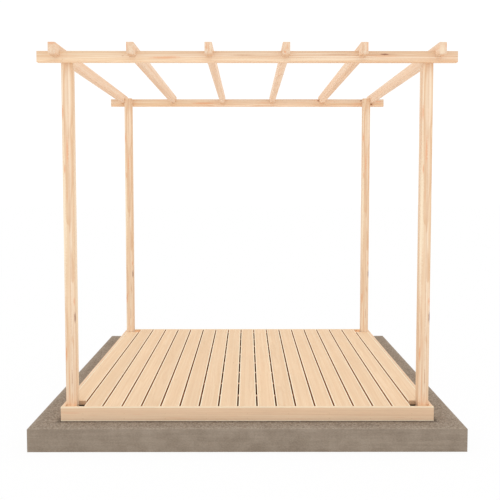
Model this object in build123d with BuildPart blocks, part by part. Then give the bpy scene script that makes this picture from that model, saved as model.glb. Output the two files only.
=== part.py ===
from build123d import *
from math import ceil, floor
import os

# Deck: a square of boards between four fascia boards
deck_length = 2400.0
deck_width = 2400.0
board_width = 119.0
board_thickness = 28.0
board_gap_least = 6.0
board_edge_radius = 3.0
fascia_thickness = 20.0
fascia_edge_radius = 2.0

# Frame timber under the boards, and the slab below it
joist_spacing_most = 300.0
joist_height = 65.0
frame_timber = 40.0
slab_margin_side = 175.0
slab_margin_front = 150.0
slab_margin_back = 105.0
slab_thickness = 148.0
slab_edge_chamfer = 1.5

# Posts stand on the slab inside the corners of the deck
post_side = 70.0
post_length = 2395.0
post_edge_radius = 4.0
corner_clearance = 3.0

# Beams lie on the front and back faces of the posts
beam_height = 70.0
beam_overhang = 145.0

# Rafters are lapped over both beams and hang past them, their ends sawn square
rafter_spacing_most = 500.0
rafter_width = 46.0
rafter_height = 73.0
lap_depth = 35.0
lap_clearance = 0.3
tail_overhang = 90.0
timber_edge_radius = 2.0

# Places worked out from the sizes above. The origin is the middle of the slab's underside.
slab_length = deck_length + 2 * fascia_thickness + slab_margin_front + slab_margin_back
slab_width = deck_width + 2 * (fascia_thickness + slab_margin_side)
deck_middle = (slab_margin_front - slab_margin_back) / 2
deck_front = deck_middle - deck_length / 2
deck_height = joist_height + board_thickness
board_count = floor((deck_width + board_gap_least) / (board_width + board_gap_least))
board_pitch = (deck_width - board_width) / (board_count - 1)
joist_count = ceil((deck_length - frame_timber) / joist_spacing_most) + 1
joist_pitch = (deck_length - frame_timber) / (joist_count - 1)
post_x = (deck_width - post_side) / 2
post_y = deck_length / 2 - frame_timber - post_side / 2
post_top = slab_thickness + post_length
beam_y = (deck_length - frame_timber) / 2
beam_length = deck_width + 2 * beam_overhang
rafter_bottom = post_top - lap_depth
rafter_length = deck_length + 2 * tail_overhang
rafter_reach = deck_width / 2 + rafter_width / 2
rafter_count = ceil(2 * rafter_reach / rafter_spacing_most) + 1
rafter_pitch = 2 * rafter_reach / (rafter_count - 1)
corner_board_length = 2 * (post_y - post_side / 2 - corner_clearance)

os.makedirs("parts", exist_ok=True)


def save(piece, name):
    """Label a finished piece and write it to its own file."""
    piece.label = name
    export_step(piece, f"parts/{name}.step")


def base_slab():
    """Slab under the whole deck, with its upper edges broken."""
    with BuildPart() as slab:
        with BuildSketch(Plane.XY):
            Rectangle(slab_width, slab_length)
        extrude(amount=slab_thickness)
        chamfer(slab.faces().sort_by(Axis.Z)[-1].edges(), slab_edge_chamfer)
    save(slab.part, "base_slab")


def fascia(name, middle, length, direction):
    """Board on edge round the deck, its top flush with the deck boards."""
    plane = Plane(origin=middle, x_dir=direction, z_dir=(0, 0, 1))
    with BuildPart() as edging:
        with BuildSketch(plane):
            Rectangle(length, fascia_thickness)
        extrude(amount=deck_height)
        top = edging.faces().sort_by(Axis.Z)[-1]
        fillet(top.edges().sort_by(SortBy.LENGTH)[-2:], fascia_edge_radius)
    save(edging.part, name)


def fascias():
    """Front and back fascias cover the ends of the two side ones."""
    end_reach = deck_length / 2 + fascia_thickness / 2
    side_reach = deck_width / 2 + fascia_thickness / 2
    long_side = deck_width + 2 * fascia_thickness
    fascia("front_fascia", (0, deck_middle - end_reach, slab_thickness), long_side, (1, 0, 0))
    fascia("back_fascia", (0, deck_middle + end_reach, slab_thickness), long_side, (1, 0, 0))
    fascia("left_fascia", (-side_reach, deck_middle, slab_thickness), deck_length, (0, 1, 0))
    fascia("right_fascia", (side_reach, deck_middle, slab_thickness), deck_length, (0, 1, 0))


def joists():
    """Joists on edge from side to side, the first and last along the deck's ends."""
    for index in range(joist_count):
        y = deck_front + frame_timber / 2 + index * joist_pitch
        with BuildPart() as joist:
            with BuildSketch(Plane.XY.offset(slab_thickness)):
                with Locations((0, y)):
                    Rectangle(deck_width, frame_timber)
            extrude(amount=joist_height)
        save(joist.part, f"joist_{index + 1}")


def deck_boards():
    """Boards from front to back. The outermost two stop short at the posts."""
    for index in range(board_count):
        outermost = index in (0, board_count - 1)
        length = corner_board_length if outermost else deck_length
        x = (board_width - deck_width) / 2 + index * board_pitch
        with BuildPart() as board:
            with BuildSketch(Plane.XY.offset(slab_thickness + joist_height)):
                with Locations((x, deck_middle)):
                    Rectangle(board_width, length)
            extrude(amount=board_thickness)
            top = board.faces().sort_by(Axis.Z)[-1]
            fillet(top.edges().filter_by(Axis.Y), board_edge_radius)
        save(board.part, f"deck_board_{index + 1:02d}")


def posts():
    """Square posts on the slab, with eased corners."""
    for row, sign_y in (("front", -1), ("back", 1)):
        for side, sign_x in (("left", -1), ("right", 1)):
            with BuildPart() as post:
                with BuildSketch(Plane.XY.offset(slab_thickness)):
                    with Locations((sign_x * post_x, deck_middle + sign_y * post_y)):
                        RectangleRounded(post_side, post_side, post_edge_radius)
                extrude(amount=post_length)
            save(post.part, f"{row}_{side}_post")


def beams():
    """Beams flush with the post tops, on the outer faces of the posts, every edge eased."""
    for name, sign_y in (("front_beam", -1), ("back_beam", 1)):
        inner_face = deck_middle + sign_y * beam_y + frame_timber / 2
        with BuildPart() as beam:
            with BuildSketch(Plane.XZ.offset(-inner_face)):
                with Locations((0, post_top - beam_height / 2)):
                    Rectangle(beam_length, beam_height)
            extrude(amount=frame_timber)
            fillet(beam.edges(), timber_edge_radius)
        save(beam.part, name)


def rafters():
    """Rafters lapped over both beams, so that half their height hangs below the beam tops."""
    lap_width = frame_timber + 2 * lap_clearance
    for index in range(rafter_count):
        x = index * rafter_pitch - rafter_reach
        side = Plane(origin=(x, deck_middle, rafter_bottom), x_dir=(0, 1, 0), z_dir=(1, 0, 0))
        with BuildPart() as rafter:
            with BuildSketch(side):
                Rectangle(rafter_length, rafter_height, align=(Align.CENTER, Align.MIN))
                with Locations((-beam_y, 0), (beam_y, 0)):
                    Rectangle(lap_width, lap_depth, align=(Align.CENTER, Align.MIN), mode=Mode.SUBTRACT)
            extrude(amount=rafter_width / 2, both=True)
            long_edges = rafter.edges().filter_by(Axis.Y).group_by(Axis.Z)
            fillet(long_edges[0] + long_edges[-1], timber_edge_radius)
        save(rafter.part, f"rafter_{index + 1}")


base_slab()
fascias()
joists()
deck_boards()
posts()
beams()
rafters()
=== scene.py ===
import logging
import math
from dataclasses import dataclass, replace
from enum import Enum

import bmesh
import bpy
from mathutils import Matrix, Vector


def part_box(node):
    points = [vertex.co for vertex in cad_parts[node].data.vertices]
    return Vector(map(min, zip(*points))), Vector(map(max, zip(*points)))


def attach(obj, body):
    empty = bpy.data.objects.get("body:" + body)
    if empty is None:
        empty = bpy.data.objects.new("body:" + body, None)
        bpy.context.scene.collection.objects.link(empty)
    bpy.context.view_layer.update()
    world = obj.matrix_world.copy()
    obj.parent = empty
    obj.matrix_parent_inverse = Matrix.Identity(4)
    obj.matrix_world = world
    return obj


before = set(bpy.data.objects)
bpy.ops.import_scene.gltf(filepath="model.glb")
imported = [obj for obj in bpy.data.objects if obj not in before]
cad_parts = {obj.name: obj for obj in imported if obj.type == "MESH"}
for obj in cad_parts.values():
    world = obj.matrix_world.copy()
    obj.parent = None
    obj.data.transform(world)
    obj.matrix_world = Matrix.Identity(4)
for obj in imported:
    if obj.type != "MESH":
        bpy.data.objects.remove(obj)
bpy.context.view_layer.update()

log = logging.getLogger("pergola")

BODY = "root"
MM = 0.001
Colour = tuple[float, float, float]
Triple = tuple[float, float, float]
Socket = bpy.types.NodeSocket


class Grain(Enum):
    """The axis that a timber's grain runs along, as the order of its along, across and through axes."""

    ALONG_X = (0, 1, 2)
    ALONG_Y = (1, 0, 2)
    ALONG_Z = (2, 0, 1)


class Facing(Enum):
    """The way a fixing's head looks out of the timber, as the turn that brings +Z there."""

    UP = (0.0, 0.0, 0.0)
    FRONT = (math.pi / 2, 0.0, 0.0)
    BACK = (-math.pi / 2, 0.0, 0.0)
    LEFT = (0.0, -math.pi / 2, 0.0)
    RIGHT = (0.0, math.pi / 2, 0.0)


def linear(red: int, green: int, blue: int) -> Colour:
    """Turn a screen colour into the linear light that shaders work in.

    Args:
        red: Red, 0 to 255.
        green: Green, 0 to 255.
        blue: Blue, 0 to 255.

    Returns:
        The same colour in linear light, each part 0 to 1.
    """

    def part(value: int) -> float:
        """One part of the colour in linear light."""
        share = value / 255
        return share / 12.92 if share <= 0.04045 else ((share + 0.055) / 1.055) ** 2.4

    return part(red), part(green), part(blue)


def middle_of(node: str) -> Vector:
    """The middle of a node's box."""
    low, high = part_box(node)
    return (low + high) / 2


def count_of(start: str) -> int:
    """How many nodes of the frame have names with this start."""
    return sum(name.startswith(start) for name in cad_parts)


def linked(name: str, data: bpy.types.ID) -> bpy.types.Object:
    """Make an object of its data and link it to the scene."""
    made = bpy.data.objects.new(name, data)
    bpy.context.scene.collection.objects.link(made)
    return made


def deck_corners() -> tuple[Vector, Vector]:
    """The low and high corners of the deck, which its front and back fascias reach."""
    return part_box("front_fascia")[0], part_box("back_fascia")[1]


@dataclass(frozen=True)
class Wave:
    """Soft noise: its turns per metre along each axis, its finer layers, and where it goes from 0 to 1."""

    pitch: Triple
    turn: tuple[float, float] = (0.0, 1.0)
    detail: float = 2.0
    roughness: float = 0.5


class Graph:
    """Adds nodes to one shader or geometry tree and joins them, so that a tree reads as a sum."""

    def __init__(self, tree: bpy.types.NodeTree) -> None:
        """Keep the tree that the nodes go in."""
        self.tree = tree

    def node(self, kind: str, feeds: dict[str | int, object] | None = None,
             **settings: object) -> bpy.types.Node:
        """Add a node, set its properties and feed its inputs.

        Args:
            kind: Blender's name for the node type.
            feeds: A socket or value for each input, by the input's name or number.
            settings: The node's properties by name.

        Returns:
            The new node.
        """
        made = self.tree.nodes.new(kind)
        for name, value in settings.items():
            setattr(made, name, value)
        for name, source in (feeds or {}).items():
            self.feed(made.inputs[name], source)
        return made

    def feed(self, socket: Socket, source: object) -> None:
        """Link a socket to another one, or set its value.

        Args:
            socket: The input to feed.
            source: An output socket, or a plain value; a colour has three parts.
        """
        if isinstance(source, Socket):
            self.tree.links.new(source, socket)
        elif socket.type == "RGBA":
            socket.default_value = (*source, 1.0)
        else:
            socket.default_value = source

    def math(self, operation: str, *values: object) -> Socket:
        """Work out one number from one to three sockets or numbers."""
        return self.node("ShaderNodeMath", dict(enumerate(values)), operation=operation).outputs[0]

    def vector(self, operation: str, *values: object) -> bpy.types.Node:
        """Work out one vector. The node's outputs hold a vector and a number."""
        return self.node("ShaderNodeVectorMath", dict(enumerate(values)), operation=operation)

    def scale(self, point: object, by: object) -> Socket:
        """Scale a point by one number."""
        return self.node("ShaderNodeVectorMath", {0: point, "Scale": by}, operation="SCALE").outputs[0]

    def stretch(self, point: object, by: Triple) -> Socket:
        """Scale a point by its own factor along each axis."""
        return self.vector("MULTIPLY", point, by).outputs[0]

    def noise(self, point: object, wave: Wave) -> Socket:
        """A wave's noise at a point, 0 to 1."""
        return self.node("ShaderNodeTexNoise", {
            "Vector": self.stretch(point, wave.pitch), "Scale": 1.0,
            "Detail": wave.detail, "Roughness": wave.roughness,
        }).outputs[0]

    def patches(self, point: object, wave: Wave) -> Socket:
        """The same noise as soft patches, by the wave's turn."""
        return self.ease(self.noise(point, wave), *wave.turn)

    def ease(self, value: object, low: object, high: object) -> Socket:
        """Go smoothly from 0 at low to 1 at high."""
        return self.node("ShaderNodeMapRange", {
            "Value": value, "From Min": low, "From Max": high,
        }, interpolation_type="SMOOTHSTEP").outputs["Result"]

    def mix(self, share: object, first: object, second: object) -> Socket:
        """Mix two colours, with this share of the second."""
        return self.node("ShaderNodeMix", {0: share, 6: first, 7: second}, data_type="RGBA").outputs[2]

    def parts(self, point: object) -> tuple[Socket, ...]:
        """The three parts of a vector."""
        return tuple(self.node("ShaderNodeSeparateXYZ", {0: point}).outputs)

    def point(self, along: object, across: object, through: object) -> Socket:
        """A vector from its three parts."""
        return self.node("ShaderNodeCombineXYZ", {0: along, 1: across, 2: through}).outputs[0]


class Paint(Graph):
    """A new material's graph, with its shader and the place and facing of the point that it colours."""

    def __init__(self, name: str) -> None:
        """Start the material of this name."""
        self.made = bpy.data.materials.new(name)
        self.made.use_nodes = True
        super().__init__(self.made.node_tree)
        self.shader = self.tree.nodes["Principled BSDF"]
        coordinates = self.node("ShaderNodeTexCoord")
        self.place = coordinates.outputs["Object"]
        self.facing = coordinates.outputs["Normal"]

    def relief(self, height: Socket, strength: float, depth: float) -> Socket:
        """The facing of a surface with this relief, its depth in metres."""
        feeds = {"Strength": strength, "Distance": depth, "Height": height}
        return self.node("ShaderNodeBump", feeds).outputs[0]

    def finish(self, feeds: dict[str, object]) -> bpy.types.Material:
        """Feed the shader's inputs by their names and give the material back."""
        for name, source in feeds.items():
            self.feed(self.shader.inputs[name], source)
        return self.made


@dataclass(frozen=True)
class PineTone:
    """The colours of one lot of pine, how lively its figure is, and the light and shade painted on its
    edges, in its narrow gaps and on its upward faces.
    """

    light: Colour
    warm: Colour
    late: Colour
    edge: float
    streaks: float
    ruddy: float
    # Painted shade along the eased long edges, in this darker orange; the boards and fascias take a pale
    # painted highlight there instead.
    edge_tint: Colour = linear(228, 184, 143)
    edge_width: float = 4 * MM
    edge_start: float = -5 * MM
    knots: float = 0.0
    heart: float = 0.0
    # Shade paints shade on the side faces and eased edges that show only through narrow gaps.
    shade: float = 0.0
    # Lift makes the faces that look up glow in their own colour: painted light.
    lift: float = 0.0


@dataclass(frozen=True)
class Mark:
    """One knot, streak or patch of painted light or shade: its place from the timber's middle and half its
    size, in metres.
    """

    x: float
    z: float
    half_x: float
    half_z: float
    tint: Colour
    strength: float
    half_y: float = 0.03
    y: float = 0.0


POST_PINE = PineTone(
    light=linear(245, 224, 199), warm=linear(236, 206, 173), late=linear(216, 169, 127),
    edge=0.1, streaks=0.55, ruddy=0.35,
)
# The beams' darker edge colour is painted shade along their eased edges.
FRONT_BEAM_PINE = PineTone(
    light=linear(239, 216, 190), warm=linear(232, 200, 167), late=linear(212, 164, 124),
    edge_tint=linear(224, 176, 132), edge=0.15, streaks=0.6, ruddy=0.35, heart=0.09,
)
BACK_BEAM_PINE = replace(
    FRONT_BEAM_PINE, light=linear(238, 213, 186), warm=linear(228, 196, 162), late=linear(207, 157, 117),
    edge=0.2, ruddy=0.4,
)
# The rafters' tone by height darkens them towards their undersides: painted shade.
RAFTER_PINE = PineTone(
    light=linear(246, 221, 195), warm=linear(242, 210, 180), late=linear(227, 185, 148),
    edge=0.2, streaks=0.4, ruddy=0.35, knots=0.08, heart=-0.02,
)
# The boards' pale edge colour is a painted highlight along their eased edges; their shade paints shade in
# the gaps between them.
BOARD_PINE = PineTone(
    light=linear(239, 210, 176), warm=linear(235, 203, 167), late=linear(229, 193, 153),
    edge_tint=linear(255, 242, 214), edge=1.0, edge_width=10 * MM, edge_start=3 * MM,
    streaks=0.12, ruddy=0.06, knots=0.01, shade=1.0,
)
# The fascias' pale edge colour is a painted highlight along their eased edges.
FASCIA_PINE = PineTone(
    light=linear(248, 219, 188), warm=linear(243, 210, 177), late=linear(229, 189, 150),
    edge_tint=linear(255, 240, 210), edge=0.9, edge_width=7 * MM, streaks=0.35, ruddy=0.3, heart=0.05,
)
SIDE_FASCIA_PINE = replace(FASCIA_PINE, edge=0.15)
# The joists take painted shade on their sides and glow on their tops, a painted light that shows through
# the gaps.
JOIST_PINE = PineTone(
    light=linear(250, 226, 198), warm=linear(242, 212, 178), late=linear(224, 184, 142),
    edge=0.0, streaks=0.4, ruddy=0.2, knots=0.2, shade=1.0, lift=0.45,
)

# Tints of knots and streaks. The deep, pale and dark tints also paint shade, light and shadow where the
# marks below say so.
RED_STREAK = linear(228, 160, 116)
BROWN_STREAK = linear(190, 138, 102)
DARK_KNOT_AND_SHADOW = linear(136, 80, 60)
PALE_WOOD_AND_LIGHT = linear(252, 238, 212)
YELLOW_WOOD = linear(238, 208, 164)
DEEP_WOOD_AND_SHADE = linear(208, 162, 120)


def marks_on(face: float, *marks: Mark) -> tuple[Mark, ...]:
    """Put marks on the face of a timber that lies this far behind its middle."""
    return tuple(replace(mark, y=face) for mark in marks)


POST_MARKS = marks_on(
    -0.035,
    Mark(-0.031, 0.1, 0.017, 0.6, PALE_WOOD_AND_LIGHT, 0.65),
    Mark(0.006, 0.0, 0.005, 1.1, DEEP_WOOD_AND_SHADE, 0.4),
    Mark(0.032, -0.1, 0.006, 1.0, DEEP_WOOD_AND_SHADE, 0.3, half_y=0.02),
    Mark(-0.0025, 0.561, 0.0075, 0.105, RED_STREAK, 0.7),
    Mark(-0.0285, 0.812, 0.005, 0.058, RED_STREAK, 0.7),
    Mark(-0.0215, 0.448, 0.005, 0.036, RED_STREAK, 0.7),
    Mark(0.0285, -0.419, 0.006, 0.03, RED_STREAK, 0.6),
    Mark(0.0315, -0.525, 0.0055, 0.04, DARK_KNOT_AND_SHADOW, 0.9, half_y=0.02),
    Mark(-0.0275, -0.771, 0.006, 0.06, RED_STREAK, 0.8),
    Mark(0.007, -0.929, 0.004, 0.07, BROWN_STREAK, 0.6),
    Mark(-0.012, -0.98, 0.0035, 0.15, RED_STREAK, 0.5),
    Mark(-0.022, -0.95, 0.006, 0.2, PALE_WOOD_AND_LIGHT, 0.5),
    Mark(-0.002, -0.97, 0.004, 0.15, PALE_WOOD_AND_LIGHT, 0.5),
)
# Painted shade at the foot of the front posts.
FOOT_SHADE = Mark(0.0, -1.2, 1.0, 0.75, DEEP_WOOD_AND_SHADE, 0.25, half_y=0.04, y=-0.035)
# Painted light on the inner side of the front left post.
INNER_SIDE_LIGHT = Mark(0.035, -0.2, 0.012, 1.2, PALE_WOOD_AND_LIGHT, 0.5, half_y=0.05, y=0.01)
RAFTER_END_MARKS = (
    (Mark(0.0, 0.03, 0.03, 0.011, RED_STREAK, 0.5),
     Mark(-0.003, -0.01, 0.014, 0.035, PALE_WOOD_AND_LIGHT, 0.15)),
    (Mark(-0.02, 0.01, 0.006, 0.03, RED_STREAK, 0.45),
     Mark(0.004, -0.014, 0.012, 0.03, PALE_WOOD_AND_LIGHT, 0.2)),
    (Mark(-0.011, 0.012, 0.0035, 0.03, RED_STREAK, 0.6),
     Mark(0.003, 0.0, 0.0035, 0.036, RED_STREAK, 0.45),
     Mark(0.015, 0.004, 0.006, 0.04, PALE_WOOD_AND_LIGHT, 0.25)),
    (Mark(-0.0095, -0.025, 0.006, 0.009, RED_STREAK, 0.9),
     Mark(0.006, 0.012, 0.004, 0.022, RED_STREAK, 0.4)),
    (Mark(-0.012, -0.005, 0.005, 0.04, DEEP_WOOD_AND_SHADE, 0.35),
     Mark(0.016, 0.01, 0.006, 0.026, RED_STREAK, 0.4),
     Mark(0.004, 0.0, 0.005, 0.04, PALE_WOOD_AND_LIGHT, 0.2)),
    (Mark(-0.004, -0.014, 0.02, 0.045, PALE_WOOD_AND_LIGHT, 0.4),
     Mark(0.02, 0.014, 0.005, 0.018, RED_STREAK, 0.5)),
)
TAIL_SHADE = Mark(0.0, -0.0385, 0.05, 0.008, DEEP_WOOD_AND_SHADE, 0.35, half_y=0.07, y=-1.235)
MARKS = {
    "front_left_post": (*POST_MARKS, FOOT_SHADE, INNER_SIDE_LIGHT),
    "front_right_post": (*POST_MARKS, FOOT_SHADE),
    "back_left_post": POST_MARKS,
    "back_right_post": POST_MARKS,
    "front_beam": marks_on(
        -0.02,
        # A pale band along the lower part of the beam, where it faces the floor: painted light.
        Mark(0.0, -0.02, 1.6, 0.014, PALE_WOOD_AND_LIGHT, 0.3),
        Mark(1.15, 0.0, 0.55, 1.0, DEEP_WOOD_AND_SHADE, 0.12, half_y=1.0),
        Mark(-1.15, 0.0, 0.65, 1.0, YELLOW_WOOD, 0.2, half_y=1.0),
        Mark(-0.525, -0.007, 0.11, 0.009, RED_STREAK, 0.6),
        Mark(-0.028, 0.008, 0.085, 0.004, BROWN_STREAK, 0.45),
        Mark(0.86, 0.0135, 0.13, 0.009, BROWN_STREAK, 0.3),
        Mark(0.581, 0.012, 0.12, 0.004, BROWN_STREAK, 0.45),
        Mark(0.877, 0.0135, 0.03, 0.0045, DARK_KNOT_AND_SHADOW, 0.85),
        Mark(-0.795, 0.0045, 0.009, 0.005, BROWN_STREAK, 0.5),
    ),
    "back_beam": marks_on(
        -0.02,
        Mark(-0.9, 0.0, 0.5, 1.0, YELLOW_WOOD, 0.2, half_y=1.0),
        Mark(-0.4325, -0.0055, 0.12, 0.012, RED_STREAK, 0.6),
        Mark(0.7, 0.02, 0.012, 0.008, DARK_KNOT_AND_SHADOW, 0.7),
        Mark(1.1205, 0.0205, 0.012, 0.008, DARK_KNOT_AND_SHADOW, 0.7),
        # A painted shadow where the rafter, the post and the back beam meet.
        Mark(1.223, -0.017, 0.014, 0.009, DARK_KNOT_AND_SHADOW, 0.8),
        Mark(1.294, 0.0108, 0.05, 0.005, RED_STREAK, 0.8),
    ),
    **{f"rafter_{number}": (*marks_on(-1.29, *marks), TAIL_SHADE)
       for number, marks in enumerate(RAFTER_END_MARKS, start=1)},
}


class PineGrain:
    """The shader group that all timbers share: growth rings, bands, fibres and knots, with light and shade
    painted on the eased edges and in narrow gaps.
    """

    SHARES = ("Knots", "Streaks", "Ruddy", "Heart", "Edge", "Edge Width", "Edge Start", "Shade")
    COLOURS = ("Light", "Warm", "Late", "Edge Tint")
    RING = 7.5 * MM
    RING_WANDER = 16 * MM
    RING_SHIVER = 2.2 * MM
    RING_RISE = (0.35, 0.88)
    RING_FALL = (1.0, 0.93)
    PITH_SIDE = 70 * MM
    PITH_NEAR = 35 * MM
    PITH_FAR = 120 * MM
    KNOT_CELL = (3.2, 13.0, 13.0)
    KNOT_STRETCH = 1.5
    KNOT_LEAST = 3 * MM
    KNOT_MOST = 8 * MM
    KNOT_BEND = 9 * MM
    KNOT_RIM = (1.1, 0.75)
    KNOT_NEAR = (4.0, 0.8)
    KNOT_SHARE = 0.75
    KNOT_COLOUR = linear(158, 108, 74)
    WANDER = Wave((1.3, 7.0, 7.0))
    SHIVER = Wave((7.0, 40.0, 40.0))
    BAND = Wave((0.55, 48.0, 48.0), (0.38, 0.6))
    STREAK = Wave((0.9, 95.0, 95.0), (0.5, 0.68))
    RUDDY = Wave((4.2, 62.0, 62.0), (0.62, 0.74), detail=1.0)
    FIBRE = Wave((16.0, 800.0, 800.0))
    POOL = Wave((2.2, 11.0, 11.0))
    LATE_SHARE = 0.5
    RUDDY_COLOUR = linear(235, 178, 138)
    FIBRE_CONTRAST = 0.16
    POOL_CONTRAST = 0.1
    TIMBER_SPREAD = 0.04
    SEED_SPREAD = 40.0
    PLACE_SALT = 0.7
    PITH_SALT = 3.1
    LEVEL_SALT = 9.4
    EDGE_SOFTNESS = 1 * MM
    # Painted shade in narrow gaps: dark brown on the eased edges, orange-brown on the flat side faces.
    SHADE_COLOUR = linear(122, 74, 38)
    SHADE_TURN = (0.3, 0.65)
    WALL_SHADE_COLOUR = linear(212, 152, 102)
    WALL_TURN = (0.9, 1.0)
    END_TURN = (0.8, 1.0)
    END_DARKENING = 0.08
    GLOSS = 0.2
    ROUGHNESS = 0.66
    LATE_SMOOTHING = 0.12
    FIBRE_ROUGHNESS = 0.1
    LATE_RELIEF = 0.5
    KNOT_DEPTH = 0.8

    def __init__(self) -> None:
        """Build the group once."""
        self.group = bpy.data.node_groups.new("pine_grain", "ShaderNodeTree")
        self.graph = Graph(self.group)
        self.sockets()
        inlets = self.graph.node("NodeGroupInput").outputs
        self.inlet = {socket.name: socket for socket in inlets if socket.name}
        self.build()

    def sockets(self) -> None:
        """Name the group's inputs and outputs."""
        for way, kind, names in (
            ("INPUT", "Vector", ("Point", "Half", "Facing")), ("INPUT", "Float", ("Seed", *self.SHARES)),
            ("INPUT", "Color", self.COLOURS), ("OUTPUT", "Color", ("Colour",)),
            ("OUTPUT", "Float", ("Roughness", "Gloss", "Height")),
        ):
            for name in names:
                self.group.interface.new_socket(name, in_out=way, socket_type=f"NodeSocket{kind}")

    def chance(self, salt: float) -> tuple[Socket, ...]:
        """Three fixed random numbers for the timber's seed."""
        g = self.graph
        feeds = {"W": g.math("ADD", self.inlet["Seed"], salt)}
        return g.parts(g.node("ShaderNodeTexWhiteNoise", feeds, noise_dimensions="1D").outputs["Color"])

    def knots(self, place: Socket) -> tuple[Socket, Socket]:
        """Scattered knots.

        Args:
            place: The point, moved by the timber's seed.

        Returns:
            How much a point is in a knot, and how far the rings bend round it.
        """
        g = self.graph
        cell = g.stretch(place, self.KNOT_CELL)
        feeds = {"Vector": cell, "Scale": 1.0}
        made = g.node("ShaderNodeTexVoronoi", feeds, feature="F1", voronoi_dimensions="3D")
        along, across, through = (1 / size for size in self.KNOT_CELL)
        gap = g.stretch(g.vector("SUBTRACT", made.outputs["Position"], cell).outputs[0],
                        (along / self.KNOT_STRETCH, across, through))
        distance = g.vector("LENGTH", gap).outputs["Value"]
        red, green, _ = g.parts(made.outputs["Color"])
        present = g.math("LESS_THAN", red, self.inlet["Knots"])
        radius = g.math("MULTIPLY_ADD", green, self.KNOT_MOST - self.KNOT_LEAST, self.KNOT_LEAST)
        reach = g.math("DIVIDE", distance, radius)
        inside = g.math("MULTIPLY", g.ease(reach, *self.KNOT_RIM), present)
        near = g.math("MULTIPLY", g.ease(reach, *self.KNOT_NEAR), present)
        return inside, g.math("MULTIPLY", near, self.KNOT_BEND)

    def rings(self, place: Socket, bend: Socket) -> Socket:
        """The late wood of the growth rings, 0 to 1.

        Args:
            place: The point, moved by the timber's seed.
            bend: How far the rings bend round knots.

        Returns:
            The socket of the late wood's share.
        """
        g = self.graph
        _, across, through = g.parts(self.inlet["Point"])
        side, near, flip = self.chance(self.PITH_SALT)
        pith_across = g.math("MULTIPLY_ADD", side, 2 * self.PITH_SIDE, -self.PITH_SIDE)
        depth = g.math("MULTIPLY_ADD", near, self.PITH_FAR - self.PITH_NEAR, self.PITH_NEAR)
        pith_through = g.math("MULTIPLY", depth, g.math("SIGN", g.math("SUBTRACT", flip, 0.5)))
        aside, below = g.math("SUBTRACT", across, pith_across), g.math("SUBTRACT", through, pith_through)
        moved = g.vector("LENGTH", g.point(0.0, aside, below)).outputs["Value"]
        for wave, swing in ((self.WANDER, self.RING_WANDER), (self.SHIVER, self.RING_SHIVER)):
            moved = g.math("MULTIPLY_ADD", g.math("SUBTRACT", g.noise(place, wave), 0.5), 2 * swing, moved)
        turn = g.math("FRACT", g.math("DIVIDE", g.math("ADD", moved, bend), self.RING))
        return g.math("MULTIPLY", g.ease(turn, *self.RING_RISE), g.ease(turn, *self.RING_FALL))

    def edges(self) -> Socket:
        """Nearness to a long edge of the timber, 0 to 1."""
        g = self.graph
        gap = g.vector("SUBTRACT", self.inlet["Half"], g.vector("ABSOLUTE", self.inlet["Point"]).outputs[0])
        _, across, through = g.parts(gap.outputs[0])
        near = g.math("MAXIMUM", across, through)
        width, start = self.inlet["Edge Width"], self.inlet["Edge Start"]
        inner = g.ease(near, width, g.math("MULTIPLY", width, 0.5))
        return g.math("MULTIPLY", inner, g.ease(near, g.math("SUBTRACT", start, self.EDGE_SOFTNESS), start))

    def shade(self, colour: Socket) -> tuple[Socket, Socket]:
        """Paint shade on the eased edges and on the side faces that only show through a narrow gap.

        Args:
            colour: The colour so far.

        Returns:
            The changed colour, and how far a point is turned to the gap, 0 to 1.
        """
        g = self.graph
        _, sideways, _ = g.parts(g.vector("ABSOLUTE", self.inlet["Facing"]).outputs[0])
        share = self.inlet["Shade"]
        turned = g.math("MULTIPLY", g.ease(sideways, *self.SHADE_TURN), share)
        wall_shade = g.math("MULTIPLY", g.ease(sideways, *self.WALL_TURN), share)
        return g.mix(wall_shade, g.mix(turned, colour, self.SHADE_COLOUR), self.WALL_SHADE_COLOUR), turned

    def ends(self) -> Socket:
        """How bright the end grain is beside the faces along the timber."""
        g = self.graph
        endways, _, _ = g.parts(g.vector("ABSOLUTE", self.inlet["Facing"]).outputs[0])
        return g.math("MULTIPLY_ADD", g.ease(endways, *self.END_TURN), -self.END_DARKENING, 1.0)

    def build(self) -> None:
        """Join the parts of the figure into colour, roughness and height."""
        g = self.graph
        inlet = self.inlet
        away = g.scale(g.point(*self.chance(self.PLACE_SALT)), self.SEED_SPREAD)
        place = g.vector("ADD", inlet["Point"], away).outputs[0]
        knot, bend = self.knots(place)
        late = self.rings(place, bend)
        band, streak, ruddy = (g.patches(place, wave) for wave in (self.BAND, self.STREAK, self.RUDDY))
        fibre, pool = g.noise(place, self.FIBRE), g.noise(place, self.POOL)
        colour = g.mix(band, inlet["Light"], inlet["Warm"])
        # The last mix paints light and shade along the eased edges.
        for share, strength, tint in (
            (late, self.LATE_SHARE, inlet["Late"]), (streak, inlet["Streaks"], inlet["Late"]),
            (ruddy, inlet["Ruddy"], self.RUDDY_COLOUR), (knot, self.KNOT_SHARE, self.KNOT_COLOUR),
            (self.edges(), inlet["Edge"], inlet["Edge Tint"]),
        ):
            colour = g.mix(g.math("MULTIPLY", share, strength), colour, tint)
        colour, turned = self.shade(colour)
        whole, _, _ = self.chance(self.LEVEL_SALT)
        level = g.math("MULTIPLY_ADD", whole, self.TIMBER_SPREAD, 1 - self.TIMBER_SPREAD / 2)
        _, _, height = g.parts(g.vector("DIVIDE", inlet["Point"], inlet["Half"]).outputs[0])
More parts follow.
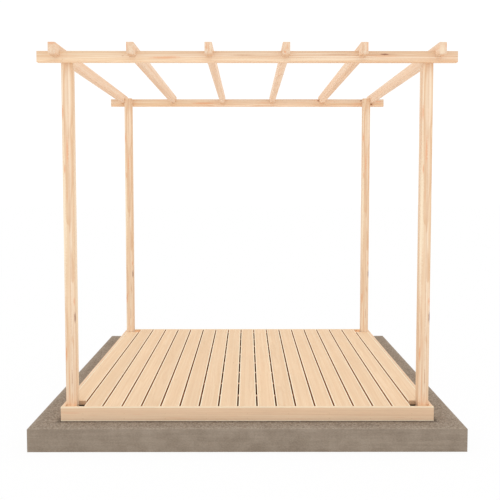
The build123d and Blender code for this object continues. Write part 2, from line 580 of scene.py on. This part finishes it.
        # Darker towards the top where the tone by height is above zero, and towards the bottom where it is
        # below.
        level = g.math("SUBTRACT", level, g.math("MULTIPLY", height, inlet["Heart"]))
        for wave, contrast in ((fibre, self.FIBRE_CONTRAST), (pool, self.POOL_CONTRAST)):
            level = g.math("MULTIPLY_ADD", g.math("SUBTRACT", wave, 0.5), contrast, level)
        rough = g.math("MULTIPLY_ADD", late, -self.LATE_SMOOTHING, self.ROUGHNESS)
        relief = g.math("MULTIPLY_ADD", late, self.LATE_RELIEF, fibre)
        g.node("NodeGroupOutput", {
            "Colour": g.scale(colour, g.math("MULTIPLY", level, self.ends())),
            "Gloss": g.math("MULTIPLY_ADD", turned, -self.GLOSS, self.GLOSS),
            "Roughness": g.math("MULTIPLY_ADD", fibre, self.FIBRE_ROUGHNESS, rough),
            "Height": g.math("MULTIPLY_ADD", knot, -self.KNOT_DEPTH, relief),
        })


@dataclass(frozen=True)
class TimberFinish:
    """Pine for one timber, with the grain along it."""

    tone: PineTone
    grain: Grain
    relief: float = 0.5
    relief_depth: float = 0.25 * MM
    upward_turn: tuple[float, float] = (0.5, 0.9)
    mark_wave: Wave = Wave((90.0, 90.0, 90.0))
    mark_raggedness: float = 0.9
    mark_turn: tuple[float, float] = (1.25, 0.3)

    def material(self, name: str, seed: float, pine: PineGrain) -> bpy.types.Material:
        """Make the material of one timber.

        Args:
            name: The timber's node, whose box gives its middle and size.
            seed: The number that its figure comes from.
            pine: The grain that all timbers share.

        Returns:
            The timber's own material.
        """
        low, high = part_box(name)
        half = (high - low) / 2
        g = Paint(f"pine_{name}")
        order = self.grain.value
        place = g.vector("SUBTRACT", g.place, tuple(middle_of(name))).outputs[0]
        local, facing = g.parts(place), g.parts(g.facing)
        tone = {socket: getattr(self.tone, socket.lower().replace(" ", "_"))
                for socket in (*pine.SHARES, *pine.COLOURS)}
        group = g.node("ShaderNodeGroup", {
            "Point": g.point(*(local[axis] for axis in order)),
            "Facing": g.point(*(facing[axis] for axis in order)),
            "Half": [half[axis] for axis in order], "Seed": seed, **tone,
        }, node_tree=pine.group)
        colour = group.outputs["Colour"]
        for mark in MARKS.get(name, ()):
            colour = self.marked(g, colour, place, mark)
        feeds = {
            "Base Color": colour, "Roughness": group.outputs["Roughness"],
            "Specular IOR Level": group.outputs["Gloss"],
            "Normal": g.relief(group.outputs["Height"], self.relief, self.relief_depth),
        }
        # Faces that look up glow in their own colour: painted light.
        if self.tone.lift:
            upward = g.ease(facing[2], *self.upward_turn)
            feeds["Emission Color"] = colour
            feeds["Emission Strength"] = g.math("MULTIPLY", upward, self.tone.lift)
        return g.finish(feeds)

    def marked(self, g: Graph, colour: Socket, place: Socket, mark: Mark) -> Socket:
        """Lay one knot, streak or patch of painted light or shade over the pine.

        Args:
            g: The material's graph.
            colour: The colour so far.
            place: The point from the timber's middle.
            mark: The knot, streak or patch.

        Returns:
            The colour with the mark on it.
        """
        gap = g.vector("SUBTRACT", place, (mark.x, mark.y, mark.z)).outputs[0]
        wave = g.math("SUBTRACT", g.noise(place, self.mark_wave), 0.5)
        scaled = g.stretch(gap, (1 / mark.half_x, 1 / mark.half_y, 1 / mark.half_z))
        distance = g.vector("LENGTH", scaled).outputs["Value"]
        ragged = g.math("MULTIPLY_ADD", wave, self.mark_raggedness, distance)
        share = g.math("MULTIPLY", g.ease(ragged, *self.mark_turn), mark.strength)
        return g.mix(share, colour, mark.tint)


@dataclass(frozen=True)
class SlabFinish:
    """Grey-brown cast slab: speckled on top and finely pitted on its faces, with painted shade under the
    deck and next to the fascias, and a painted highlight along its rim.
    """

    pale: Colour = linear(166, 153, 138)
    middle: Colour = linear(148, 134, 119)
    dark: Colour = linear(124, 111, 97)
    speck_pale: Colour = linear(184, 170, 155)
    speck_dark: Colour = linear(116, 101, 87)
    # Painted shade under the deck, and a painted contact shadow on the slab in front of the fascias.
    deck_shade: Colour = linear(22, 15, 10)
    deck_shade_fade: float = 10 * MM
    contact_reach: float = 44 * MM
    contact_strength: float = 0.55
    # A pale painted highlight along the rim of the slab's top.
    rim_highlight: Colour = linear(186, 172, 156)
    rim_highlight_reach: float = 60 * MM
    rim_highlight_share: float = 0.22
    grit: Wave = Wave((85.0, 60.0, 130.0), (0.36, 0.64), 3.0, 0.7)
    patch: Wave = Wave((9.0, 9.0, 9.0), (0.3, 0.7), 4.0, 0.6)
    layer: Wave = Wave((2.2, 2.2, 55.0), (0.35, 0.65), 3.0, 0.55)
    upward_turn: tuple[float, float] = (0.5, 0.9)
    middle_share: float = 0.6
    layer_share: float = 0.3
    side_specks: float = 0.12
    top_specks: float = 0.5
    roughness: float = 0.92
    patch_relief: float = 0.6
    relief: float = 0.6
    relief_depth: float = 1.2 * MM

    def inside(self, g: Paint, low: Vector, high: Vector) -> Socket:
        """How far a point lies inside a box's outline, seen from above.

        Args:
            g: The material's graph.
            low: The box's low corner.
            high: Its high corner.

        Returns:
            The distance's socket, negative outside.
        """
        from_middle = g.vector("SUBTRACT", g.place, tuple((low + high) / 2)).outputs[0]
        across = g.vector("ABSOLUTE", from_middle).outputs[0]
        gap_x, gap_y, _ = g.parts(g.vector("SUBTRACT", tuple((high - low) / 2), across).outputs[0])
        return g.math("MINIMUM", gap_x, gap_y)

    def material(self, name: str) -> bpy.types.Material:
        """Make the slab's material.

        Args:
            name: The material's name.

        Returns:
            The material.
        """
        g = Paint(name)
        grit, patch = g.noise(g.place, self.grit), g.noise(g.place, self.patch)
        top = g.ease(g.parts(g.facing)[2], *self.upward_turn)
        colour = g.mix(g.ease(patch, *self.patch.turn), self.dark, self.pale)
        colour = g.mix(self.middle_share, colour, self.middle)
        speck = g.mix(g.ease(grit, *self.grit.turn), self.speck_dark, self.speck_pale)
        layered = g.math("MULTIPLY", g.patches(g.place, self.layer), self.layer_share)
        side = g.mix(self.side_specks, g.mix(layered, colour, self.dark), speck)
        near_rim = g.ease(self.inside(g, *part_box("base_slab")), self.rim_highlight_reach, 0.0)
        flat = g.mix(self.top_specks, colour, speck)
        # Painted highlight along the rim of the top.
        flat = g.mix(g.math("MULTIPLY", near_rim, self.rim_highlight_share), flat, self.rim_highlight)
        # Painted shade under the deck and a painted contact shadow just outside it, on the top only.
        inside = self.inside(g, *deck_corners())
        contact = g.math("MULTIPLY", g.ease(inside, -self.contact_reach, 0.0), self.contact_strength)
        under_deck = g.math("MAXIMUM", g.ease(inside, 0.0, self.deck_shade_fade), contact)
        return g.finish({
            "Base Color": g.mix(g.math("MULTIPLY", under_deck, top), g.mix(top, side, flat), self.deck_shade),
            "Roughness": self.roughness, "Specular IOR Level": 0.0,
            "Normal": g.relief(g.math("MULTIPLY_ADD", patch, self.patch_relief, grit),
                               self.relief, self.relief_depth),
        })


@dataclass(frozen=True)
class GrainFinish:
    """Two tones of one stuff in small patches, such as loose grit or worn coated steel."""

    first: Colour
    second: Colour
    wave: Wave
    roughness: float
    roughness_swing: float = 0.0
    gloss: float = 0.5

    def material(self, name: str) -> bpy.types.Material:
        """Make the material.

        Args:
            name: The material's name.

        Returns:
            The material.
        """
        g = Paint(name)
        tone = g.noise(g.place, self.wave)
        swing = self.roughness_swing
        return g.finish({
            "Base Color": g.mix(g.ease(tone, *self.wave.turn), self.first, self.second),
            "Roughness": g.math("MULTIPLY_ADD", tone, swing, self.roughness) if swing else self.roughness,
            "Specular IOR Level": self.gloss,
        })


GRIT = GrainFinish(
    first=linear(108, 94, 82), second=linear(190, 176, 160),
    wave=Wave((70.0, 70.0, 70.0), (0.4, 0.6), roughness=0.6), roughness=0.9, gloss=0.2,
)
COATED_STEEL = GrainFinish(
    first=linear(234, 200, 164), second=linear(222, 186, 148),
    wave=Wave((420.0, 420.0, 420.0), (0.42, 0.66), roughness=0.6), roughness=0.4, roughness_swing=0.25,
)


# The finish of each timber, by a part of its node's name
FINISHES = {
    "_post": TimberFinish(POST_PINE, Grain.ALONG_Z),
    "front_beam": TimberFinish(FRONT_BEAM_PINE, Grain.ALONG_X),
    "back_beam": TimberFinish(BACK_BEAM_PINE, Grain.ALONG_X),
    "rafter_": TimberFinish(RAFTER_PINE, Grain.ALONG_Y),
    "deck_board_": TimberFinish(BOARD_PINE, Grain.ALONG_Y),
    "front_fascia": TimberFinish(FASCIA_PINE, Grain.ALONG_X),
    "back_fascia": TimberFinish(FASCIA_PINE, Grain.ALONG_X),
    "left_fascia": TimberFinish(SIDE_FASCIA_PINE, Grain.ALONG_Y),
    "right_fascia": TimberFinish(SIDE_FASCIA_PINE, Grain.ALONG_Y),
    "joist_": TimberFinish(JOIST_PINE, Grain.ALONG_X),
}


@dataclass
class Timbers:
    """All the sawn pieces of the frame, dressed in pine that runs the right way."""

    pine: PineGrain
    post_seed: float = 26.0

    def dress(self) -> int:
        """Give each timber its own pine. The posts share one figure.

        Returns:
            How many timbers were dressed.
        """
        done = 0
        for seed, name in enumerate(sorted(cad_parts)):
            finish = next((finish for part, finish in FINISHES.items() if part in name), None)
            if finish is None:
                continue
            figure = self.post_seed if name.endswith("_post") else float(seed)
            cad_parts[name].material_slots[0].material = finish.material(name, figure, self.pine)
            done += 1
        return done


class Repeater:
    """A geometry tree with named inputs that sets out what repeats, and is kept as a plain mesh."""

    def __init__(self, name: str) -> None:
        """Start an empty tree of this name."""
        self.group = bpy.data.node_groups.new(name, "GeometryNodeTree")
        self.graph = Graph(self.group)
        self.group.interface.new_socket("Carrier", in_out="INPUT", socket_type="NodeSocketGeometry")
        self.group.interface.new_socket("Made", in_out="OUTPUT", socket_type="NodeSocketGeometry")
        self.inlets = self.graph.node("NodeGroupInput")
        self.outlet = self.graph.node("NodeGroupOutput")

    def inlet(self, name: str, kind: str) -> Socket:
        """Add a named input of this kind and return the socket that gives its value inside the tree."""
        self.group.interface.new_socket(name, in_out="INPUT", socket_type=f"NodeSocket{kind}")
        return self.inlets.outputs[name]

    def close(self, geometry: Socket, finish: Socket) -> None:
        """End the tree: make the instances real and give them their material.

        Args:
            geometry: The instances' socket.
            finish: The material's socket.
        """
        g = self.graph
        real = g.node("GeometryNodeRealizeInstances", {0: geometry})
        dressed = g.node("GeometryNodeSetMaterial", {"Geometry": real.outputs[0], "Material": finish})
        g.feed(self.outlet.inputs[0], dressed.outputs[0])

    def run(self, name: str, carrier: bpy.types.Mesh, values: dict[str, object]) -> bpy.types.Object:
        """Run the tree once and keep what it makes.

        Args:
            name: The new piece's name.
            carrier: The mesh that the tree starts from.
            values: The inputs by name.

        Returns:
            The piece, a plain mesh that rides on the frame.
        """
        piece = linked(name, carrier)
        modifier = piece.modifiers.new("set_out", "NODES")
        modifier.node_group = self.group
        for item in self.group.interface.items_tree:
            if item.in_out == "INPUT" and item.name in values:
                modifier[item.identifier] = values[item.name]
        bpy.context.view_layer.update()
        evaluated = piece.evaluated_get(bpy.context.evaluated_depsgraph_get())
        mesh = bpy.data.meshes.new_from_object(evaluated)
        piece.modifiers.remove(modifier)
        piece.data = mesh
        mesh.name = name
        mesh.materials.clear()
        mesh.materials.append(values["Finish"])
        mesh.polygons.foreach_set("material_index", [0] * len(mesh.polygons))
        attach(piece, BODY)
        log.info("%s: %d faces", name, len(mesh.polygons))
        return piece


@dataclass(frozen=True)
class Lattice:
    """Where a set of fixings stands: a start and up to three steps with their counts."""

    start: Vector
    facing: Facing
    first_step: Vector
    first_count: int
    second_step: Vector
    second_count: int
    pair_step: Vector
    pair_count: int = 2


@dataclass(frozen=True)
class HeadSize:
    """The size of a countersunk screw head."""

    radius: float
    rise: float
    sunk: float = 2.4 * MM
    drive_depth: float = 0.9 * MM


LONG_SIDES = (("front", Facing.FRONT, 0), ("back", Facing.BACK, 1))
SHORT_SIDES = (("left", Facing.LEFT, 0), ("right", Facing.RIGHT, 1))


@dataclass
class Fixings:
    """Screw heads set out by Geometry Nodes on the deck, fascias, beams and rafters."""

    deck_head: HeadSize = HeadSize(radius=3.6 * MM, rise=0.3 * MM)
    frame_head: HeadSize = HeadSize(radius=4.6 * MM, rise=0.8 * MM)
    head_sides: int = 12
    rim_share: float = 0.6
    bevel_scale: float = 0.84
    drive_scale: float = 0.36
    board_pair: float = 70 * MM
    fascia_columns: int = 9
    fascia_low: float = 0.25
    fascia_pair: float = 0.5
    post_pair: Triple = (26 * MM, 0.0, 34 * MM)
    rafter_pair: Triple = (18 * MM, 16 * MM, 0.0)

    def head(self, g: Graph, radius: object, rise: object, sunk: object, drive: object) -> Socket:
        """One head: a shallow round plug, its rim bevelled, with a drive sunk in its middle.

        Args:
            g: The tree's graph.
            radius: The head's radius.
            rise: How far it stands out of the timber.
            sunk: How far it reaches in.
            drive: How deep the drive is.

        Returns:
            The head's mesh socket.
        """
        whole = g.math("ADD", rise, sunk)
        step = g.math("MULTIPLY", rise, self.rim_share)
        plug = g.node("GeometryNodeMeshCylinder", {
            "Vertices": self.head_sides, "Radius": radius, "Depth": whole,
        }, fill_type="NGON")
        mesh, chosen = plug.outputs["Mesh"], plug.outputs["Top"]
        for offset, scale in ((step, self.bevel_scale), (0.0, self.drive_scale)):
            raised = g.node("GeometryNodeExtrudeMesh", {
                "Mesh": mesh, "Selection": chosen, "Offset Scale": offset,
            }, mode="FACES")
            chosen = raised.outputs["Top"]
            mesh = g.node("GeometryNodeScaleElements", {
                "Geometry": raised.outputs["Mesh"], "Selection": chosen, "Scale": scale,
            }, domain="FACE").outputs[0]
        hole = g.node("GeometryNodeExtrudeMesh", {
            "Mesh": mesh, "Selection": chosen, "Offset Scale": g.math("MULTIPLY", drive, -1.0),
        }, mode="FACES")
        lift = g.math("SUBTRACT", g.math("MULTIPLY", whole, 0.5), sunk)
        return g.node("GeometryNodeTransform", {
            "Geometry": hole.outputs["Mesh"],
            "Translation": g.point(0.0, 0.0, g.math("SUBTRACT", lift, step)),
        }).outputs[0]

    def tree(self) -> Repeater:
        """Build the tree that sets heads out on a lattice.

        Returns:
            The tree.
        """
        made = Repeater("screw_rows")
        g = made.graph
        places: Socket | None = None
        for name in ("First", "Second", "Pair"):
            line = g.node("GeometryNodeMeshLine", {
                "Count": made.inlet(f"{name} Count", "Int"), "Offset": made.inlet(f"{name} Step", "Vector"),
            }, mode="OFFSET")
            if places is None:
                g.feed(line.inputs["Start Location"], made.inlet("Start", "Vector"))
                places = line.outputs[0]
                continue
            spread = g.node("GeometryNodeInstanceOnPoints", {"Points": places, "Instance": line.outputs[0]})
            places = g.node("GeometryNodeRealizeInstances", {0: spread.outputs[0]}).outputs[0]
        head = self.head(g, made.inlet("Radius", "Float"), made.inlet("Rise", "Float"),
                         made.inlet("Sunk", "Float"), made.inlet("Drive Depth", "Float"))
        heads = g.node("GeometryNodeInstanceOnPoints", {
            "Points": places, "Instance": head, "Rotation": made.inlet("Turn", "Vector"),
        })
        feeds = {3: math.tau, "Seed": made.inlet("Seed", "Int")}
        spin = g.node("FunctionNodeRandomValue", feeds, data_type="FLOAT")
        turned = g.node("GeometryNodeRotateInstances", {
            "Instances": heads.outputs[0], "Rotation": g.point(0.0, 0.0, spin.outputs[1]),
        })
        made.close(turned.outputs[0], made.inlet("Finish", "Material"))
        return made

    def place(self, tree: Repeater, name: str, lattice: Lattice, size: HeadSize, seed: int) -> None:
        """Make one set of heads.

        Args:
            tree: The tree that sets them out.
            name: The piece's name.
            lattice: Where they stand.
            size: How large they are.
            seed: The seed for how each is turned.
        """
        tree.run(name, bpy.data.meshes.new(f"{name}_carrier"), {
            "Start": lattice.start, "Turn": lattice.facing.value,
            "First Step": lattice.first_step, "First Count": lattice.first_count,
            "Second Step": lattice.second_step, "Second Count": lattice.second_count,
            "Pair Step": lattice.pair_step, "Pair Count": lattice.pair_count,
            "Radius": size.radius, "Rise": size.rise, "Sunk": size.sunk, "Drive Depth": size.drive_depth,
            "Seed": seed, "Finish": COATED_STEEL.material(f"coated_steel_{name}"),
        })

    def deck(self, tree: Repeater) -> None:
        """Two screws where each board crosses a joist. The short boards miss the outermost joists."""
        boards, joists = count_of("deck_board_"), count_of("joist_")
        first, last = middle_of("deck_board_01"), middle_of(f"deck_board_{boards:02d}")
        near, far = middle_of("joist_1"), middle_of(f"joist_{joists}")
        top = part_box("deck_board_01")[1].z
        board_step = (last.x - first.x) / (boards - 1)
        joist_step = (far.y - near.y) / (joists - 1)
        pair = Vector((self.board_pair, 0.0, 0.0))
        inner = Vector((first.x + board_step - self.board_pair / 2, near.y, top))
        outer = Vector((first.x - self.board_pair / 2, near.y + joist_step, top))
        along = Vector((0.0, joist_step, 0.0))
        self.place(tree, "deck_screws", Lattice(
            inner, Facing.UP, Vector((board_step, 0.0, 0.0)), boards - 2, along, joists, pair,
        ), self.deck_head, seed=3)
        self.place(tree, "corner_board_screws", Lattice(
            outer, Facing.UP, Vector((last.x - first.x, 0.0, 0.0)), 2, along, joists - 2, pair,
        ), self.deck_head, seed=4)

    def fascias(self, tree: Repeater) -> None:
        """Pairs of screws through the fascias into the joists: into their ends, or into the end joists."""
        joists = count_of("joist_")
        near, far = middle_of("joist_1"), middle_of(f"joist_{joists}")
        joist_low, joist_high = (corner.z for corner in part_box("joist_1"))
        low = joist_low + (joist_high - joist_low) * self.fascia_low
        pair = Vector((0.0, 0.0, (joist_high - joist_low) * self.fascia_pair))
        reach = middle_of("left_fascia").x - middle_of("right_fascia").x
        column = -reach / self.fascia_columns
        for side, facing, end in LONG_SIDES:
            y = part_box(f"{side}_fascia")[end].y
            start = Vector((reach / 2 + column / 2, y, low))
            self.place(tree, f"{side}_fascia_screws", Lattice(
                start, facing, Vector((column, 0.0, 0.0)), self.fascia_columns, Vector(), 1, pair,
            ), self.deck_head, seed=5 + end)
        step = Vector((0.0, (far.y - near.y) / (joists - 1), 0.0))
        for side, facing, end in SHORT_SIDES:
            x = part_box(f"{side}_fascia")[end].x
            self.place(tree, f"{side}_fascia_screws", Lattice(
                Vector((x, near.y, low)), facing, step, joists, Vector(), 1, pair,
            ), self.deck_head, seed=7 + end)

    def beams(self, tree: Repeater) -> None:
        """Two screws through each beam into each post, set on a slant."""
        for side, facing, end in LONG_SIDES:
            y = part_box(f"{side}_beam")[end].y
            left, right = middle_of(f"{side}_left_post"), middle_of(f"{side}_right_post")
            pair = Vector(self.post_pair)
            start = Vector((left.x, y, middle_of(f"{side}_beam").z)) - pair / 2
            self.place(tree, f"{side}_beam_screws", Lattice(
                start, facing, Vector((right.x - left.x, 0.0, 0.0)), 2, Vector(), 1, pair,
            ), self.deck_head, seed=9 + end)

    def rafters(self, tree: Repeater) -> None:
        """Two screws down through each rafter into each beam."""
        count = count_of("rafter_")
        first, last = middle_of("rafter_1"), middle_of(f"rafter_{count}")
        near, far = middle_of("front_beam"), middle_of("back_beam")
        pair = Vector(self.rafter_pair)
        start = Vector((first.x, near.y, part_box("rafter_1")[1].z)) - pair / 2
        self.place(tree, "rafter_screws", Lattice(
            start, Facing.UP, Vector(((last.x - first.x) / (count - 1), 0.0, 0.0)), count,
            Vector((0.0, far.y - near.y, 0.0)), 2, pair,
        ), self.frame_head, seed=11)

    def build(self) -> None:
        """Set out every fixing."""
        tree = self.tree()
        self.deck(tree)
        self.fascias(tree)
        self.beams(tree)
        self.rafters(tree)


@dataclass
class Slab:
    """The slab that holds the deck, with the loose grit on its rim."""

    finish: SlabFinish = SlabFinish()
    grain_least: float = 0.9 * MM
    grain_most: float = 2.4 * MM
    grains_per_square_metre: float = 2600.0
    edge_room: float = 9 * MM
    lift: float = 0.2 * MM
    narrow: float = 0.75
    flatten: float = 0.55
    tip: float = 0.3
    seed: int = 17

    def rim(self) -> bpy.types.Mesh:
        """The flat rim of the slab round the deck, as four faces.

        Returns:
            The mesh that the grit is spread on.
        """
        low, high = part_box("base_slab")
        room = Vector((self.edge_room, self.edge_room, 0.0))
        made = bmesh.new()
        rings = []
        for near, far in ((low + room, high - room), deck_corners()):
            corners = ((near.x, near.y), (far.x, near.y), (far.x, far.y), (near.x, far.y))
            rings.append([made.verts.new((x, y, high.z + self.lift)) for x, y in corners])
        for index in range(4):
            after = (index + 1) % 4
            made.faces.new((rings[0][index], rings[0][after], rings[1][after], rings[1][index]))
        mesh = bpy.data.meshes.new("slab_rim")
        made.to_mesh(mesh)
        made.free()
        return mesh

    def tree(self) -> Repeater:
        """Build the tree that spreads grains over a face.

        Returns:
            The tree.
        """
        made = Repeater("spread_grit")
        g = made.graph
        seed = made.inlet("Seed", "Int")
        spread = g.node("GeometryNodeDistributePointsOnFaces", {
            "Mesh": made.inlets.outputs["Carrier"], "Density": made.inlet("Density", "Float"),
            "Seed": seed,
        }, distribute_method="RANDOM")
        stone = g.node("GeometryNodeMeshIcoSphere", {"Radius": 1.0, "Subdivisions": 1})
        turn = g.node("FunctionNodeRandomValue", {
            0: (0.0, 0.0, 0.0), 1: (self.tip, self.tip, math.tau), "Seed": seed,
        }, data_type="FLOAT_VECTOR")
        wide = g.node("FunctionNodeRandomValue", {
            2: made.inlet("Least", "Float"), 3: made.inlet("Most", "Float"), "Seed": seed,
        }, data_type="FLOAT").outputs[1]
        scale = g.point(wide, g.math("MULTIPLY", wide, self.narrow), g.math("MULTIPLY", wide, self.flatten))
        grains = g.node("GeometryNodeInstanceOnPoints", {
            "Points": spread.outputs["Points"], "Instance": stone.outputs["Mesh"],
            "Rotation": turn.outputs[0], "Scale": scale,
        })
        made.close(grains.outputs[0], made.inlet("Finish", "Material"))
        return made

    def build(self) -> None:
        """Give the slab its cast finish and spread its grit."""
        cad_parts["base_slab"].material_slots[0].material = self.finish.material("slab_concrete_cast")
        grit = self.tree().run("slab_grit", self.rim(), {
            "Density": self.grains_per_square_metre, "Seed": self.seed,
            "Least": self.grain_least, "Most": self.grain_most,
            "Finish": GRIT.material("slab_grit_stone"),
        })


@dataclass
class Studio:
    """White floor, even white light and the camera that took the view."""

    focal_px: float = 675.5
    picture_px: float = 500.0
    principal_x_px: float = 249.0
    principal_y_px: float = 226.4
    camera_place: Triple = (-0.0001, -5.5401, 1.6727)
    yaw: float = 0.00241
    pitch: float = 0.05727
    sensor: float = 36.0
    room_light: float = 1.04
    lamp_power: float = 0.1
    lamp_spread: float = math.radians(50)
    lamp_slope: float = math.radians(48)
    floor_reach: float = 60.0
    floor_colour: Colour = (0.94, 0.94, 0.94)
    floor_near: float = 2.5
    floor_far: float = 9.0
    floor_own_light: float = 0.94
    floor_bounce: float = 0.12

    def camera(self) -> None:
        """Place the camera."""
        data = bpy.data.cameras.new("camera")
        data.sensor_width = self.sensor
        data.lens = self.focal_px / self.picture_px * self.sensor
        data.shift_x = 0.5 - self.principal_x_px / self.picture_px
        data.shift_y = self.principal_y_px / self.picture_px - 0.5
        eye = linked("camera", data)
        eye.location = self.camera_place
        eye.rotation_euler = (math.pi / 2 - self.pitch, 0.0, -self.yaw)
        bpy.context.scene.camera = eye

    def world(self) -> None:
        """Even white light from all round, and white behind."""
        world = bpy.data.worlds.new("white_room")
        bpy.context.scene.world = world
        world.use_nodes = True
        g = Graph(world.node_tree)
        world.node_tree.nodes.clear()
        room = g.node("ShaderNodeBackground", {"Strength": self.room_light, "Color": (1.0, 1.0, 1.0)})
        g.node("ShaderNodeOutputWorld", {0: room.outputs[0]})

    def floor(self) -> None:
        """White floor that keeps a faint shadow near the object and fades into the white behind."""
        reach = self.floor_reach
        mesh = bpy.data.meshes.new("floor")
        corners = [(-reach, -reach, 0), (reach, -reach, 0), (reach, reach, 0), (-reach, reach, 0)]
        mesh.from_pydata(corners, [], [(0, 1, 2, 3)])
        plane = linked("floor", mesh)
        g = Paint("floor_white")
        path = g.node("ShaderNodeLightPath").outputs
        away = g.ease(g.vector("LENGTH", g.place).outputs["Value"], self.floor_near, self.floor_far)
        own = g.math("MULTIPLY_ADD", away, 1.0 - self.floor_own_light, self.floor_own_light)
        shows = g.math("MAXIMUM", path["Is Camera Ray"],
                       g.math("MAXIMUM", path["Is Glossy Ray"], path["Is Transmission Ray"]))
        mixed = g.node("ShaderNodeMixShader", {
            0: g.math("MULTIPLY", shows, own), 1: g.shader.outputs[0],
            2: g.node("ShaderNodeEmission").outputs[0],
        })
        strength = g.math("MULTIPLY", path["Is Diffuse Ray"], self.floor_bounce)
        bounce = g.node("ShaderNodeEmission", {"Strength": strength})
        both = g.node("ShaderNodeAddShader", {0: mixed.outputs[0], 1: bounce.outputs[0]})
        g.feed(g.tree.nodes["Material Output"].inputs[0], both.outputs[0])
        mesh.materials.append(g.finish({
            "Base Color": self.floor_colour, "Roughness": 1.0, "Specular IOR Level": 0.0,
        }))

    def lamp(self) -> None:
        """One large soft lamp from above in front."""
        data = bpy.data.lights.new("soft_key", "SUN")
        data.energy = self.lamp_power
        data.angle = self.lamp_spread
        linked("soft_key", data).rotation_euler = (self.lamp_slope, 0.0, 0.0)

    def build(self) -> None:
        """Set the view transform, then make the camera, the light and the floor."""
        bpy.context.scene.view_settings.view_transform = "Standard"
        self.camera()
        self.world()
        self.floor()
        self.lamp()


def main() -> None:
    """Dress the frame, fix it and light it."""
    logging.basicConfig(level=logging.INFO, format="%(name)s %(message)s")
    Studio().build()
    Slab().build()
    log.info("timbers dressed: %d", Timbers(PineGrain()).dress())
    Fixings().build()


if __name__ == "__main__":
    main()
